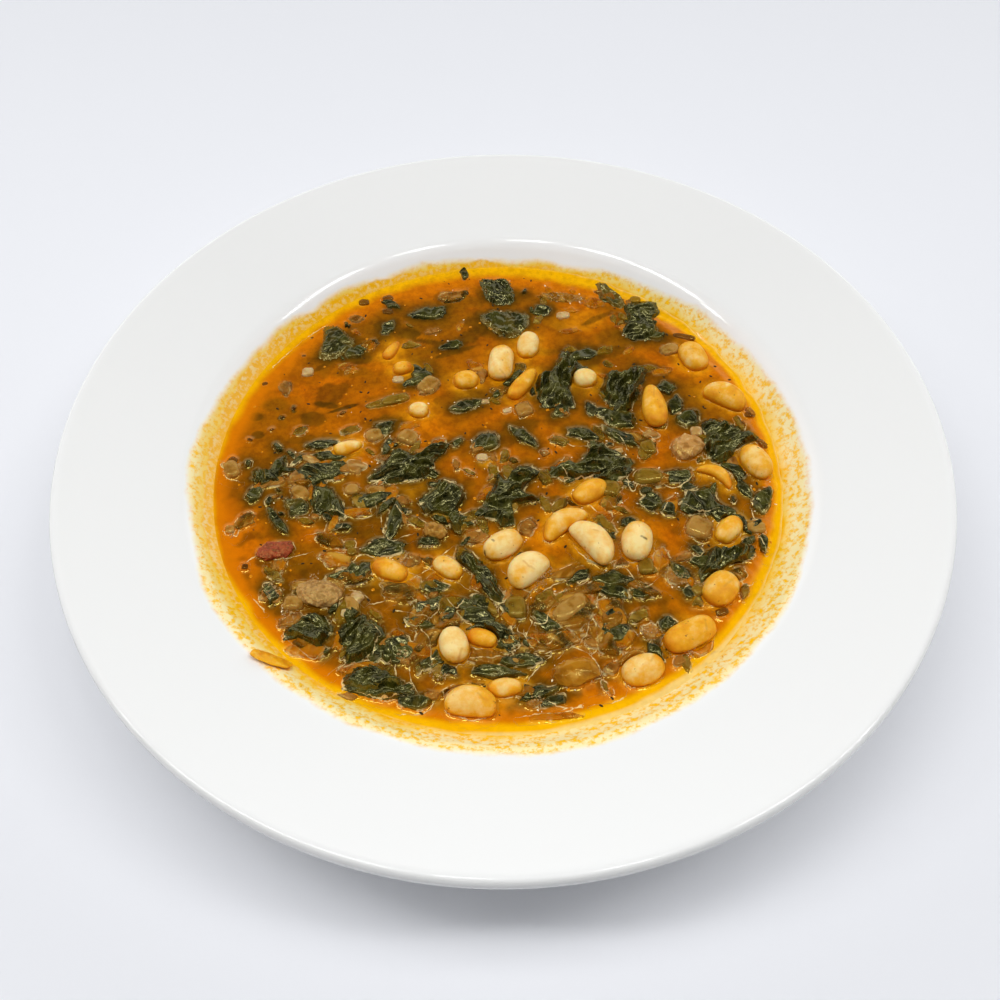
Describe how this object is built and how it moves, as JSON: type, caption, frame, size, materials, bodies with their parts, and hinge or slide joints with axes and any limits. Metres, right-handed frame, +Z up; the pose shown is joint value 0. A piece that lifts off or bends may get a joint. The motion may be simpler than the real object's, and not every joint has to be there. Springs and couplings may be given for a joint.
{
  "type": "bowl of escarole and bean soup",
  "caption": "Wide-rimmed white soup plate filled with orange broth, white beans, chopped dark greens, onion and small chunks of meat and vegetable.",
  "frame": {"origin": "on the table, under the middle of the plate's foot ring", "axes": "+Z up along the plate's axis, -Y towards the person it is served to, +X to that person's right"},
  "size_m": [0.28, 0.28, 0.042],
  "materials": {
    "china": "glazed white china, glossy, with a faint oily orange stain on the well's wall",
    "broth": "oily orange-brown broth, wet and glossy, with flecks of herb",
    "bean": "cooked cream-white bean skin, wet",
    "leaf": "cooked dark green leaf, wrinkled, wet and glossy",
    "onion": "cooked translucent onion, wet",
    "meat": "cooked pinkish brown meat, moist",
    "tomato": "cooked tomato, dark red, wet",
    "pepper": "cooked yellow pepper strip, oily"
  },
  "bodies": {
    "root": {"plate": "china", "broth": "broth", "bean_01": "bean", "bean_02": "bean", "bean_03": "bean", "bean_04": "bean", "bean_05": "bean", "bean_06": "bean", "bean_07": "bean", "bean_08": "bean", "bean_09": "bean", "bean_10": "bean", "bean_11": "bean", "bean_12": "bean", "bean_13": "bean", "bean_14": "bean", "bean_15": "bean", "bean_16": "bean", "bean_17": "bean", "bean_18": "bean", "bean_19": "bean", "bean_20": "bean", "bean_21": "bean", "bean_22": "bean", "bean_23": "bean", "bean_24": "bean", "bean_25": "bean", "bean_26": "bean", "bean_27": "bean", "bean_28": "bean", "bean_29": "bean", "bean_30": "bean", "leaf_01": "leaf", "leaf_02": "leaf", "leaf_03": "leaf", "leaf_04": "leaf", "leaf_05": "leaf", "leaf_06": "leaf", "leaf_07": "leaf", "leaf_08": "leaf", "leaf_09": "leaf", "leaf_10": "leaf", "leaf_11": "leaf", "leaf_12": "leaf", "leaf_13": "leaf", "leaf_14": "leaf", "leaf_15": "leaf", "leaf_16": "leaf", "leaf_17": "leaf", "leaf_18": "leaf", "leaf_19": "leaf", "leaf_20": "leaf", "leaf_21": "leaf", "leaf_22": "leaf", "onion_01": "onion", "onion_02": "onion", "meat_01": "meat", "meat_02": "meat", "tomato_01": "tomato", "pepper_strip": "pepper"}
  },
  "joints": []
}
